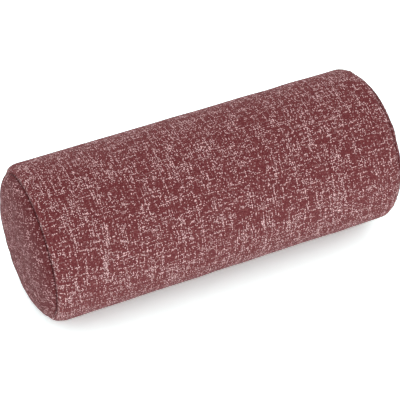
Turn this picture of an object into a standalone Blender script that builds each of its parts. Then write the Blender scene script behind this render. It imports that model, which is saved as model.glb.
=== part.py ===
"""A round bolster pillow, 16 cm across and 39 cm long, with a zipped cover.

The roll lies along X and rests on z = 0 with its origin under its middle. The zip runs
lengthwise in the cover's long seam, on the back (+Y) side. Everything round is placed by
two numbers: a station on the roll's profile, and an angle about its axis that is counted
from the zip's middle. Lengths are in metres.
"""

import math

import bmesh
import bpy
from mathutils import Matrix, Vector

# The roll's outside
RADIUS = 0.080  # of the straight stretch
SEAM_X = 0.1845  # from the middle to each end seam
SHOULDER_DROP = 0.006  # by which the roll narrows to its end seams
SHOULDER_LENGTH = 0.013  # over which it narrows
DOME_HEIGHT = 0.0125  # by which an end panel stands out from its seam
DOME_POWER = 6  # higher is flatter in the middle and steeper at the rim
REST_DEPTH = 0.001  # by which the underside is pressed flat

# Cloth and filling
COVER_CLOTH = 0.001
LINER_CLOTH = 0.0005
WADDING = 0.005
LABEL_CLOTH = 0.0003
GAP = 0.0003  # between touching pieces
SEAM_THREAD = 0.00035  # radius
TOPSTITCH_THREAD = 0.00025  # radius
HEM = 0.010  # turned in along each side of the zip

# The zip, which is centred on the roll's length
ZIP_ANGLE = math.radians(22.5)  # above the horizontal, on the back
ZIP_SETBACK = 0.0345  # from each end seam to the end of the coils
ZIP_MOUTH = 0.004  # from the zip's middle to each fold of the cover
MOUTH_TAPER = 0.008  # over which the mouth narrows to the sewn seam
TAPE_CLOTH = 0.0006
TAPE_INNER_EDGE = 0.001
TAPE_OUTER_EDGE = 0.013
COIL_INNER_EDGE = 0.00015
COIL_OUTER_EDGE = 0.00265
COIL_HEIGHT = 0.0018
STOP_LENGTH = 0.002
TOPSTITCH_OFFSET = 0.003  # from a fold to its row of stitches

# The zip's slider, whose middle is the pull's hinge axis
SLIDER_LENGTH = 0.009
SLIDER_PLATE = 0.0008
SLIDER_TOP_HALF_WIDTH = 0.0035
SLIDER_BASE_HALF_WIDTH = 0.0032
FLANGE_WIDTH = 0.00045
FLANGE_LIFT = 0.0005  # from the tape up to the flange
POST_LENGTH = 0.0018
POST_HALF_WIDTH = 0.0006
POST_SETBACK = 0.0008  # from the slider's front end to its post
ARCH_HALF_LENGTH = 0.0028
ARCH_HALF_WIDTH = 0.0008
ARCH_HEIGHT = 0.0030
ARCH_BAR = 0.0007
ARCH_LEG = 0.0010
PULL_LIFT = 0.0013  # from the slider's top plate to the hinge axis
PULL_THICKNESS = 0.001
PULL_LENGTH = 0.025
PULL_HALF_WIDTH = 0.0021
PULL_TIP_HALF_WIDTH = 0.0030
PULL_EYE_LENGTH = 0.0035
PULL_EYE_HALF_WIDTH = 0.0013

# The blank care label, sewn in with the lower side of the zip
LABEL_START = -0.100
LABEL_WIDTH = 0.030
LABEL_EDGE = 0.006  # from the zip's middle
LABEL_LENGTH = 0.020

# Where the inner cushion gives way under the zip
DENT_FLAT = 0.026  # from the zip's middle
DENT_END = 0.042

# How finely round things are divided
GIRTH_STEPS = 48
SHOULDER_STEPS = 4
DOME_RINGS = 5
RING_SPREAD = 0.45  # crowds an end panel's rings towards its rim
FOLD_STEPS = 4
LINER_SEAM_STEP = 20  # the liner's long seam, in girth steps from the zip

# Worked out
SEAM_RADIUS = RADIUS - SHOULDER_DROP
AXIS_HEIGHT = RADIUS - REST_DEPTH
SEAM_GAP = 2 * (SEAM_THREAD + GAP)
BODY_END = SEAM_X - SEAM_GAP / 2
STRAIGHT_END = BODY_END - SHOULDER_LENGTH
DOME_BASE = SEAM_X + SEAM_GAP / 2
COIL_END = SEAM_X - ZIP_SETBACK
SLIDER_FRONT = COIL_END + GAP + POST_LENGTH + POST_SETBACK
SLIDER_X = SLIDER_FRONT - SLIDER_LENGTH / 2
STOP_START = SLIDER_FRONT + GAP
MOUTH_END = STOP_START + STOP_LENGTH + GAP
TAPER_END = MOUTH_END + MOUTH_TAPER
TOPSTITCH_END = TAPER_END + TOPSTITCH_THREAD

# Depths under the roll's outer surface
HEM_DEPTH = COVER_CLOTH + GAP
TAPE_DEPTH = HEM_DEPTH + COVER_CLOTH + GAP
TAPE_UNDERSIDE = TAPE_DEPTH + TAPE_CLOTH
LABEL_DEPTH = TAPE_UNDERSIDE + GAP
SLIDER_UNDERSIDE = TAPE_UNDERSIDE + GAP + SLIDER_PLATE
LINER_DEPTH = COVER_CLOTH + GAP
WADDING_DEPTH = LINER_DEPTH + LINER_CLOTH + GAP
FOAM_DEPTH = WADDING_DEPTH + WADDING + GAP
DENT_DEPTH = SLIDER_UNDERSIDE + GAP - LINER_DEPTH

# Heights above the roll's axis, along the zip's own outward direction
COIL_BASE = RADIUS - TAPE_DEPTH + GAP
COIL_TOP = COIL_BASE + COIL_HEIGHT
SLIDER_TOP_BASE = COIL_TOP + GAP
SLIDER_TOP = SLIDER_TOP_BASE + SLIDER_PLATE
PULL_HEIGHT = SLIDER_TOP + PULL_LIFT

WINE = (0.165, 0.045, 0.055)
WINE_END = (0.155, 0.055, 0.062)
THREAD = (0.10, 0.025, 0.032)
ZIP_CLOTH = (0.14, 0.035, 0.045)
ZIP_NYLON = (0.12, 0.028, 0.036)
METAL = (0.30, 0.27, 0.25)
CALICO = (0.80, 0.76, 0.68)
POLYESTER = (0.88, 0.88, 0.86)
FOAM = (0.82, 0.74, 0.52)
SATIN = (0.86, 0.85, 0.82)


# --- the roll's profile: each station is (x, radius, outward normal along x and along the radius)


def shoulder(side):
    """From the straight stretch round a quarter of an ellipse to the end seam."""
    stations = []
    for i in range(SHOULDER_STEPS + 1):
        turn = math.pi / 2 * i / SHOULDER_STEPS
        spread = (math.sin(turn) / SHOULDER_LENGTH, math.cos(turn) / SHOULDER_DROP)
        normal = Vector(spread).normalized()
        x = STRAIGHT_END + SHOULDER_LENGTH * math.sin(turn)
        radius = SEAM_RADIUS + SHOULDER_DROP * math.cos(turn)
        stations.append((side * x, radius, side * normal.x, normal.y))
    return stations


def straight(x):
    return (x, RADIUS, 0.0, 1.0)


def dome(side):
    """From the middle of an end panel out to its rim."""
    stations = []
    for i in range(DOME_RINGS + 1):
        share = (i / DOME_RINGS) ** RING_SPREAD
        slope = DOME_HEIGHT * DOME_POWER * share ** (DOME_POWER - 1) / SEAM_RADIUS
        normal = Vector((1.0, slope)).normalized()
        x = DOME_BASE + DOME_HEIGHT * (1 - share**DOME_POWER)
        stations.append((side * x, share * SEAM_RADIUS, side * normal.x, normal.y))
    return stations


def whole_length(inner_stations):
    """Stations from one end seam to the other, with the given x values between the shoulders."""
    left = list(reversed(shoulder(-1)))
    return left + [straight(x) for x in inner_stations] + shoulder(1)


def place(station, angle, depth, pressed=0.0):
    """The point at this depth under the surface, kept above the flattened underside.

    pressed moves it further in towards the axis, by less where the roll is narrower.
    """
    x, radius, normal_x, normal_radius = station
    reach = radius - depth * normal_radius - pressed * (radius / RADIUS) ** 2
    world_angle = ZIP_ANGLE + angle
    y = reach * math.cos(world_angle)
    z = AXIS_HEIGHT + reach * math.sin(world_angle)
    return Vector((x - depth * normal_x, y, max(z, depth)))


def dent(angle):
    """How far the inner cushion is pressed in at this angle from the zip."""
    away = abs(math.remainder(angle, math.tau)) * RADIUS
    share = min(max((DENT_END - away) / (DENT_END - DENT_FLAT), 0.0), 1.0)
    return DENT_DEPTH * share * share * (3 - 2 * share)


def mouth(x):
    """From the zip's middle to each fold: wide along the zip, and a sewn seam past its ends."""
    share = min(max((TAPER_END - abs(x)) / MOUTH_TAPER, 0.0), 1.0)
    return SEAM_GAP / 2 + (ZIP_MOUTH - SEAM_GAP / 2) * share


# --- helpers

body = bpy.data.collections.new("bolster_pillow")
helpers = bpy.data.collections.new("helpers")


def clear_scene():
    for old in list(bpy.data.objects):
        bpy.data.objects.remove(old, do_unlink=True)
    bpy.context.scene.collection.children.link(body)
    bpy.context.scene.collection.children.link(helpers)


def material(name, color, roughness=0.9, metallic=0.0):
    made = bpy.data.materials.new(name)
    made.use_nodes = True
    shader = made.node_tree.nodes["Principled BSDF"]
    shader.inputs["Base Color"].default_value = (*color, 1)
    shader.inputs["Roughness"].default_value = roughness
    shader.inputs["Metallic"].default_value = metallic
    return made


def add(name, data, look, group=body):
    made = bpy.data.objects.new(name, data)
    group.objects.link(made)
    if look:
        data.materials.append(look)
    return made


def bent_grid(columns, rows, put, weld=False):
    """A flat grid bent into shape: put(column, row) gives each point's place."""
    bm = bmesh.new()
    across, along = len(columns) - 1, len(rows) - 1
    bmesh.ops.create_grid(bm, x_segments=across, y_segments=along, size=0.5)
    for vertex in bm.verts:
        i = round((vertex.co.x + 0.5) * across)
        j = round((vertex.co.y + 0.5) * along)
        vertex.co = put(columns[i], rows[j])
    if weld:
        bmesh.ops.remove_doubles(bm, verts=bm.verts, dist=1e-6)
    return bm


def finish_mesh(bm, name):
    bmesh.ops.recalc_face_normals(bm, faces=bm.faces)
    mesh = bpy.data.meshes.new(name)
    bm.to_mesh(mesh)
    bm.free()
    mesh.shade_smooth()
    mesh.set_sharp_from_angle(angle=math.radians(40))
    return mesh


def cloth(name, bm, thickness, look):
    """A sheet given its thickness, half to each side."""
    made = add(name, finish_mesh(bm, name), look)
    solid = made.modifiers.new("cloth", "SOLIDIFY")
    solid.thickness = thickness
    solid.offset = 0.0
    solid.use_even_offset = True
    return made


def girth(first=0, count=GIRTH_STEPS):
    return [math.tau * (first + i) / GIRTH_STEPS for i in range(count + 1)]


def thread(name, points, radius, look, cyclic=False):
    """A thread along these points."""
    curve = bpy.data.curves.new(name, "CURVE")
    curve.dimensions = "3D"
    curve.bevel_depth = radius
    curve.bevel_resolution = 1
    curve.use_fill_caps = not cyclic
    line = curve.splines.new("POLY")
    line.points.add(len(points) - 1)
    for i, point in enumerate(points):
        line.points[i].co = (*point, 1)
    line.use_cyclic_u = cyclic
    return add(name, curve, look)


def ring_thread(name, x, radius, look):
    points = [Vector((x, radius * math.cos(a), AXIS_HEIGHT + radius * math.sin(a))) for a in girth()]
    return thread(name, points[:-1], SEAM_THREAD, look, cyclic=True)


def box(name, low, high, look, bevel=0.0, group=body):
    """A box between two corners, given in the parent's frame."""
    bm = bmesh.new()
    bmesh.ops.create_cube(bm, size=1.0)
    low, high = Vector(low), Vector(high)
    for vertex in bm.verts:
        vertex.co = (low + high) / 2 + vertex.co * (high - low)
    if bevel:
        bmesh.ops.bevel(bm, geom=bm.edges, offset=bevel, segments=2, profile=0.5, affect="EDGES")
    return add(name, finish_mesh(bm, name), look, group)


def join(target, other, operation="UNION"):
    other.hide_render = True
    other.display_type = "WIRE"
    cut = target.modifiers.new(other.name, "BOOLEAN")
    cut.operation = operation
    cut.object = other


# --- the cover


def fold_path(x):
    """Half of the rolled panel's section at x, from its hem round the fold to the outside.

    Each point is (arc length from the zip's middle, depth of the cloth's middle).
    """
    turn = (COVER_CLOTH + GAP) / 2
    middle = mouth(x) + turn + COVER_CLOTH / 2
    inner = COVER_CLOTH / 2 + HEM_DEPTH
    path = [(mouth(x) + HEM, inner), ((mouth(x) + HEM + middle) / 2, inner)]
    for i in range(FOLD_STEPS + 1):
        bend = math.pi * i / FOLD_STEPS
        reach = middle - turn * math.sin(bend)
        path.append((reach, inner - turn * (1 - math.cos(bend))))
    return path


def make_body_panel(look):
    """One rolled panel, whose two long edges are turned in and meet along the zip."""
    folds = range(len(fold_path(0.0)))
    columns = [(1, i) for i in folds] + [(0, angle) for angle in girth(1, GIRTH_STEPS - 2)]
    columns += [(-1, i) for i in reversed(folds)]

    def put(column, station):
        side, value = column
        if side == 0:
            return place(station, value, COVER_CLOTH / 2)
        reach, depth = fold_path(station[0])[value]
        return place(station, side * reach / RADIUS, depth)

    rows = whole_length([-TAPER_END, -MOUTH_END, MOUTH_END, TAPER_END])
    return cloth("cover_body_panel", bent_grid(columns, rows, put), COVER_CLOTH, look)


def end_disc(name, side, depth, thickness, look):
    def put(angle, station):
        return place(station, angle, depth)

    return cloth(name, bent_grid(girth(), dome(side), put, weld=True), thickness, look)


def make_cover(look, end_look, thread_look):
    make_body_panel(look)
    for side, word in ((-1, "left"), (1, "right")):
        end_disc(f"cover_end_{word}", side, COVER_CLOTH / 2, COVER_CLOTH, end_look)
        seam_bottom = SEAM_RADIUS + GAP
        ring_thread(f"end_seam_thread_{word}", side * SEAM_X, seam_bottom, thread_look)
        start = straight(side * (TOPSTITCH_END + 2 * SEAM_THREAD))
        stations = [start] + shoulder(side)[:-1]
        points = [place(station, 0.0, SEAM_GAP / 2) for station in stations]
        thread(f"long_seam_thread_{word}", points, SEAM_THREAD, thread_look)


# --- the zip


def make_tapes(look):
    for side, word in ((1, "upper"), (-1, "lower")):
        reaches = [side * (TAPE_INNER_EDGE + (TAPE_OUTER_EDGE - TAPE_INNER_EDGE) * i / 3) for i in range(4)]
        depth = TAPE_DEPTH + TAPE_CLOTH / 2

        def put(reach, station):
            return place(station, reach / RADIUS, depth)

        ends = [straight(-TAPER_END), straight(TAPER_END)]
        cloth(f"zip_tape_{word}", bent_grid(reaches, ends, put), TAPE_CLOTH, look)


def make_topstitch(look):
    """One loop of stitching through the cover, its hems and the tapes."""
    across = ZIP_MOUTH + TOPSTITCH_OFFSET
    lift = -(GAP + TOPSTITCH_THREAD)
    corner = 2 * TOPSTITCH_THREAD
    reaches = [across, across - corner, across / 2, 0.0, -across / 2, corner - across, -across]
    points = []
    for side in (-1, 1):
        for i, reach in enumerate(reaches):
            turned_in = corner if i in (0, len(reaches) - 1) else 0.0
            station = straight(side * (TOPSTITCH_END - turned_in))
            points.append(place(station, -side * reach / RADIUS, lift))
    thread("zip_topstitch", points, TOPSTITCH_THREAD, look, cyclic=True)


def make_label(look):
    """A blank label under the lower tape."""
    reaches = [-(LABEL_EDGE + LABEL_LENGTH * i / 3) for i in range(4)]
    depth = LABEL_DEPTH + LABEL_CLOTH / 2

    def put(reach, station):
        return place(station, reach / RADIUS, depth)

    ends = [straight(LABEL_START), straight(LABEL_START + LABEL_WIDTH)]
    cloth("care_label", bent_grid(reaches, ends, put), LABEL_CLOTH, look)


def zip_frame():
    """An empty on the roll's axis, whose Y is the zip's outward direction."""
    frame = bpy.data.objects.new("zip_frame", None)
    frame.location = (0, 0, AXIS_HEIGHT)
    frame.rotation_euler = (ZIP_ANGLE, 0, 0)
    body.objects.link(frame)
    return frame


def make_chain(frame, nylon, metal):
    """The two coils and their stops, in the zip's frame: x along it, y outward, z across it."""
    made = []
    for side, word in ((1, "upper"), (-1, "lower")):
        near, far = side * COIL_INNER_EDGE, side * COIL_OUTER_EDGE
        low = (-COIL_END, COIL_BASE, min(near, far))
        high = (COIL_END, COIL_TOP, max(near, far))
        made.append(box(f"zip_coil_{word}", low, high, nylon, bevel=COIL_HEIGHT / 4))
        near = side * TAPE_INNER_EDGE
        low = (STOP_START, COIL_BASE, min(near, far))
        high = (STOP_START + STOP_LENGTH, COIL_TOP, max(near, far))
        made.append(box(f"zip_top_stop_{word}", low, high, metal, bevel=COIL_HEIGHT / 6))
    low = (-COIL_END - GAP - STOP_LENGTH, COIL_BASE, -COIL_OUTER_EDGE)
    high = (-COIL_END - GAP, COIL_TOP, COIL_OUTER_EDGE)
    made.append(box("zip_bottom_stop", low, high, metal, bevel=COIL_HEIGHT / 6))
    for piece in made:
        piece.parent = frame


def make_slider(frame, metal):
    """Two plates joined by a post between the coils, with an arch for the pull on top."""
    back, front = -SLIDER_LENGTH / 2, SLIDER_LENGTH / 2
    pivot = bpy.data.objects.new("pull_axis", None)
    pivot.location = (SLIDER_X, PULL_HEIGHT, 0)
    pivot.parent = frame
    body.objects.link(pivot)

    def piece(name, low, high, group=helpers):
        low = (low[0], low[1] - PULL_HEIGHT, low[2])
        high = (high[0], high[1] - PULL_HEIGHT, high[2])
        made = box(name, low, high, metal, group=group)
        made.parent = pivot
        return made

    base_top = RADIUS - TAPE_UNDERSIDE - GAP
    overlap = SLIDER_PLATE / 2
    wide, narrow = SLIDER_TOP_HALF_WIDTH, SLIDER_BASE_HALF_WIDTH
    low, high = (back, SLIDER_TOP_BASE, -wide), (front, SLIDER_TOP, wide)
    slider = piece("zip_slider_body", low, high, group=body)
    low, high = (back, base_top - SLIDER_PLATE, -narrow), (front, base_top, narrow)
    join(slider, piece("slider_base", low, high))
    post_front = front - POST_SETBACK
    low = (post_front - POST_LENGTH, base_top - overlap, -POST_HALF_WIDTH)
    high = (post_front, SLIDER_TOP - overlap, POST_HALF_WIDTH)
    join(slider, piece("slider_post", low, high))
    for side in (-1, 1):
        edges = sorted((side * wide, side * (wide - FLANGE_WIDTH)))
        low = (back, RADIUS - TAPE_DEPTH + FLANGE_LIFT, edges[0])
        high = (front, SLIDER_TOP - overlap, edges[1])
        join(slider, piece(f"slider_flange_{'upper' if side > 0 else 'lower'}", low, high))
    low = (-ARCH_HALF_LENGTH, SLIDER_TOP - overlap, -ARCH_HALF_WIDTH)
    high = (ARCH_HALF_LENGTH, SLIDER_TOP + ARCH_HEIGHT, ARCH_HALF_WIDTH)
    join(slider, piece("slider_arch", low, high))
    reach = ARCH_HALF_LENGTH - ARCH_LEG
    low = (-reach, SLIDER_TOP, -2 * ARCH_HALF_WIDTH)
    high = (reach, SLIDER_TOP + ARCH_HEIGHT - ARCH_BAR, 2 * ARCH_HALF_WIDTH)
    join(slider, piece("slider_arch_window", low, high), "DIFFERENCE")
    return pivot


def make_pull(pivot, metal):
    """A flat tab with an eye, whose end bar lies on the hinge axis inside the slider's arch."""
    half_bar = PULL_THICKNESS / 2
    tip, shoulder_x = half_bar - PULL_LENGTH, -PULL_EYE_LENGTH - 4 * half_bar
    chamfer = PULL_TIP_HALF_WIDTH / 2
    side = [
        (half_bar, PULL_HALF_WIDTH - half_bar),
        (0.0, PULL_HALF_WIDTH),
        (shoulder_x, PULL_HALF_WIDTH),
        (shoulder_x - chamfer, PULL_TIP_HALF_WIDTH),
        (tip + chamfer, PULL_TIP_HALF_WIDTH),
        (tip, PULL_TIP_HALF_WIDTH - chamfer),
    ]
    outline = side + [(x, -z) for x, z in reversed(side)]
    eye_end = -half_bar - PULL_EYE_LENGTH
    eye = [
        (-half_bar, PULL_EYE_HALF_WIDTH),
        (eye_end, PULL_EYE_HALF_WIDTH),
        (eye_end, -PULL_EYE_HALF_WIDTH),
        (-half_bar, -PULL_EYE_HALF_WIDTH),
    ]
    curve = bpy.data.curves.new("zip_slider_pull", "CURVE")
    curve.dimensions = "2D"
    curve.fill_mode = "BOTH"
    curve.extrude = half_bar
    for loop in (outline, eye):
        line = curve.splines.new("POLY")
        line.points.add(len(loop) - 1)
        line.use_cyclic_u = True
        for i, (x, z) in enumerate(loop):
            line.points[i].co = (x, z, 0, 1)
    pull = add("zip_slider_pull", curve, metal)
    pull.rotation_euler = (math.pi / 2, 0, 0)
    pull.parent = pivot


# --- the inner cushion


def make_liner(look, thread_look):
    depth = LINER_DEPTH + LINER_CLOTH / 2
    seam_angle = math.tau * LINER_SEAM_STEP / GIRTH_STEPS
    edge = SEAM_GAP / 2 / RADIUS
    between = girth(LINER_SEAM_STEP + 1, GIRTH_STEPS - 2)
    columns = [seam_angle + edge] + between + [seam_angle + math.tau - edge]

    def put(angle, station):
        return place(station, angle, depth, dent(angle))

    cloth("liner_tube", bent_grid(columns, whole_length([]), put), LINER_CLOTH, look)
    stations = [straight(-STRAIGHT_END), straight(STRAIGHT_END)]
    points = [place(station, seam_angle, depth) for station in stations]
    thread("liner_long_seam_thread", points, SEAM_THREAD, thread_look)
    for side, word in ((-1, "left"), (1, "right")):
        end_disc(f"liner_end_{word}", side, depth, LINER_CLOTH, look)
        seam_x = side * (SEAM_X - LINER_DEPTH)
        seam_radius = SEAM_RADIUS - SEAM_THREAD - COVER_CLOTH / 2
        ring_thread(f"liner_seam_thread_{word}", seam_x, seam_radius, thread_look)


def make_wadding(look):
    """A strip wrapped once round the foam, and a thick pad over each of its ends."""
    inner_depth = WADDING_DEPTH + WADDING
    ends = [straight(-STRAIGHT_END + GAP), straight(STRAIGHT_END - GAP)]
    edge = GAP / 2 / RADIUS
    start = math.tau * LINER_SEAM_STEP / GIRTH_STEPS
    between = girth(LINER_SEAM_STEP + 1, GIRTH_STEPS - 2)
    columns = [start + edge] + between + [start + math.tau - edge]
    center = Vector((0, 0, AXIS_HEIGHT))

    def outer(angle, station):
        return place(station, angle, WADDING_DEPTH, dent(angle))

    def pad_face(angle, station):
        return place(station, angle, WADDING_DEPTH + GAP, dent(angle))

    def across(point):
        return Vector((0, point.y, point.z)) - center

    wrap = bent_grid(columns, ends, lambda angle, station: place(station, angle, inner_depth))
    wrap_mesh = finish_mesh(wrap, "wadding_wrap")
    made = add("wadding_wrap", wrap_mesh, look)
    share = made.vertex_groups.new(name="thickness")
    for vertex in wrap_mesh.vertices:
        spoke = across(vertex.co)
        angle = math.atan2(spoke.z, spoke.y) - ZIP_ANGLE
        thickness = across(outer(angle, ends[0])).length - spoke.length
        share.add([vertex.index], thickness / WADDING, "REPLACE")
    solid = made.modifiers.new("wadding", "SOLIDIFY")
    solid.thickness = WADDING
    outward = wrap_mesh.polygons[0].normal.dot(across(wrap_mesh.polygons[0].center)) > 0
    solid.offset = 1.0 if outward else -1.0
    solid.vertex_group = share.name

    for side, word in ((-1, "left"), (1, "right")):
        rim_x, rim_radius, rim_nx, rim_nr = dome(side)[-1]
        seam = shoulder(side)[-1]
        corner = (seam[0], rim_radius - WADDING_DEPTH * rim_nr, seam[2], 0.0)
        rows = dome(side) + [corner] + list(reversed(shoulder(side)))
        pad = bent_grid(girth(), rows, pad_face, weld=True)
        rim = [edge for edge in pad.edges if edge.is_boundary]
        bmesh.ops.contextual_create(pad, geom=rim)
        add(f"wadding_end_{word}", finish_mesh(pad, f"wadding_end_{word}"), look)


def make_foam(look):
    bm = bmesh.new()
    radius = RADIUS - FOAM_DEPTH
    length = 2 * (STRAIGHT_END - GAP)
    lying = Matrix.Translation((0, 0, AXIS_HEIGHT)) @ Matrix.Rotation(math.pi / 2, 4, "Y")
    bmesh.ops.create_cone(
        bm,
        cap_ends=True,
        segments=GIRTH_STEPS,
        radius1=radius,
        radius2=radius,
        depth=length,
        matrix=lying,
    )
    for vertex in bm.verts:
        vertex.co.z = max(vertex.co.z, FOAM_DEPTH)
    add("foam_core", finish_mesh(bm, "foam_core"), look)


def main():
    clear_scene()
    cover_thread = material("cover_thread", THREAD, roughness=0.7)
    calico = material("liner_calico", CALICO)
    wine = material("cover_cloth", WINE)
    make_cover(wine, material("cover_end_cloth", WINE_END), cover_thread)
    make_tapes(material("zip_tape", ZIP_CLOTH))
    make_topstitch(cover_thread)
    make_label(material("label_satin", SATIN, roughness=0.5))
    frame = zip_frame()
    metal = material("zip_metal", METAL, roughness=0.35, metallic=1.0)
    make_chain(frame, material("zip_nylon", ZIP_NYLON, roughness=0.45), metal)
    make_pull(make_slider(frame, metal), metal)
    make_liner(calico, material("liner_thread", CALICO, roughness=0.7))
    make_wadding(material("polyester_wadding", POLYESTER))
    make_foam(material("polyurethane_foam", FOAM, roughness=0.95))
    bpy.context.view_layer.update()


main()
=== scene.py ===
"""Looks of the bolster pillow: its woven cover, zip and cushion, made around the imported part."""

import math

import bmesh
import bpy
import numpy as np
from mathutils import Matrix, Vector


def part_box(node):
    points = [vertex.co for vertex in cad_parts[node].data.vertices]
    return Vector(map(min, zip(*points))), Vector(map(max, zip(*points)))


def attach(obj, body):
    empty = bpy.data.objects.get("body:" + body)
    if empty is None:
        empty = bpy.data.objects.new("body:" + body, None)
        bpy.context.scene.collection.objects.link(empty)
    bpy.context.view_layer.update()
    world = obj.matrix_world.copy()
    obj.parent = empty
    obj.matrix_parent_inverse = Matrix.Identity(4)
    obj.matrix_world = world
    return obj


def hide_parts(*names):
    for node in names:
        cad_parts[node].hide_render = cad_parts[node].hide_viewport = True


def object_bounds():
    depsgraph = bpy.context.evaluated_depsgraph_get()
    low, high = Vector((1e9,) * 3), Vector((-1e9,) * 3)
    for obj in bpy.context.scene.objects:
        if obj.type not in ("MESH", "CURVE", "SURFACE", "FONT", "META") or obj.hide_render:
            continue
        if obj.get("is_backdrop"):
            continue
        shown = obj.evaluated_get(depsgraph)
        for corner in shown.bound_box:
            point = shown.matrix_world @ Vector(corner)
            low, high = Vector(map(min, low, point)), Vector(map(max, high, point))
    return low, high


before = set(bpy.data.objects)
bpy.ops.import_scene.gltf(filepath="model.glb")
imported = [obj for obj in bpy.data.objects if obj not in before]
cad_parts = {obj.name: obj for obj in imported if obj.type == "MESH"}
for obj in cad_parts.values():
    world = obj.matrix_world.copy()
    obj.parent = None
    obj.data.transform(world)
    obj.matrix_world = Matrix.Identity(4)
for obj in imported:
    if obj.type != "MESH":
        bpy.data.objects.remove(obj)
cad_low, cad_high = (list(corner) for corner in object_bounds())

# Sizes in metres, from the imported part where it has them
body_low, body_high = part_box("cover_body_panel")
RADIUS = (body_high.y - body_low.y) / 2
AXIS_HEIGHT = body_high.z - RADIUS
SEAM_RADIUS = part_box("cover_end_right")[1].z - AXIS_HEIGHT
BODY_END = body_high.x
TIP = cad_high[0]
SHOULDER_LENGTH = 0.013
SEAM_GAP = 0.0013
DOME_POWER = 6  # higher is flatter in the middle of an end panel
GROOVE = 0.0034  # how deep the cloth turns in at an end seam
CLOTH = 0.001
LINER_CLOTH = 0.0005
TAPE_CLOTH = 0.0006
GAP = 0.0003
HEM = 0.010
ZIP_ANGLE = math.radians(22.5)  # above the horizontal, on the back
ZIP_MOUTH = 0.004
MOUTH_TAPER = 0.008
TOPSTITCH_OFFSET = 0.003
STITCH = 0.003
SEAM_CLEARANCE = 0.00006  # from a seam's middle to the cloth at each side of it
TAPE_REACH = (0.001, 0.013)  # a zip tape's edges, from the zip's middle
TEETH_REACH = 0.00265  # a coil's or stop's outer edge, from the zip's middle

STRAIGHT_END = BODY_END - SHOULDER_LENGTH
SHOULDER_DROP = RADIUS - SEAM_RADIUS
DOME_BASE = BODY_END + SEAM_GAP
DOME_HEIGHT = TIP - DOME_BASE
SEAM_X = BODY_END + SEAM_GAP / 2
COIL_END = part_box("zip_coil_upper")[1].x
slider_low, slider_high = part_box("zip_slider_body")
stop_low, stop_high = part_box("zip_top_stop_upper")
TAPER_END = stop_high.x + GAP + MOUTH_TAPER
HEM_DEPTH = CLOTH + GAP
TAPE_DEPTH = HEM_DEPTH + CLOTH + GAP
LINER_DEPTH = CLOTH + GAP
WADDING_DEPTH = LINER_DEPTH + LINER_CLOTH + GAP
WADDING = 0.005
FOAM_DEPTH = WADDING_DEPTH + WADDING + GAP
COIL_BASE = RADIUS - TAPE_DEPTH + GAP
COIL_TOP = COIL_BASE + 0.0018

# Colours, linear
# painted shade: the dark colour painted into the gaps between the cover's yarns
WINE_PAINTED_SHADE = (0.080, 0.011, 0.013)
WINE = (0.335, 0.077, 0.083)
WINE_FLECK = (1.0, 0.71, 0.71)
# painted shade: the end panels are the body's cloth, coloured darker and with dimmer flecks for the
# ends' shaded side
END_WINE_SHADED = (0.178, 0.043, 0.046)
END_FLECK_SHADED = (0.70, 0.42, 0.43)


# --- finishes


class Wire:
    """One value inside a finish, so that sums on it can be written as arithmetic."""

    def __init__(self, finish, socket):
        self.finish, self.socket = finish, socket

    def sum(self, operation, *values):
        return self.finish.node("ShaderNodeMath", {"operation": operation}, list(values))

    def __add__(self, other):
        return self.sum("ADD", self, other)

    def __sub__(self, other):
        return self.sum("SUBTRACT", self, other)

    def __rsub__(self, other):
        return self.sum("SUBTRACT", other, self)

    def __mul__(self, other):
        return self.sum("MULTIPLY", self, other)

    def __truediv__(self, other):
        return self.sum("DIVIDE", self, other)

    __radd__, __rmul__ = __add__, __mul__

    def floor(self):
        return self.sum("FLOOR", self)

    def cos(self):
        return self.sum("COSINE", self)

    def sin(self):
        return self.sum("SINE", self)

    def most(self, other):
        return self.sum("MAXIMUM", self, other)

    def above(self, other):
        return self.sum("GREATER_THAN", self, other)

    def rise(self, start, end):
        """0 below start, 1 above end, smooth between."""
        settings = {"interpolation_type": "SMOOTHSTEP"}
        return self.finish.node("ShaderNodeMapRange", settings, [self, start, end, 0.0, 1.0])


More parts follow.
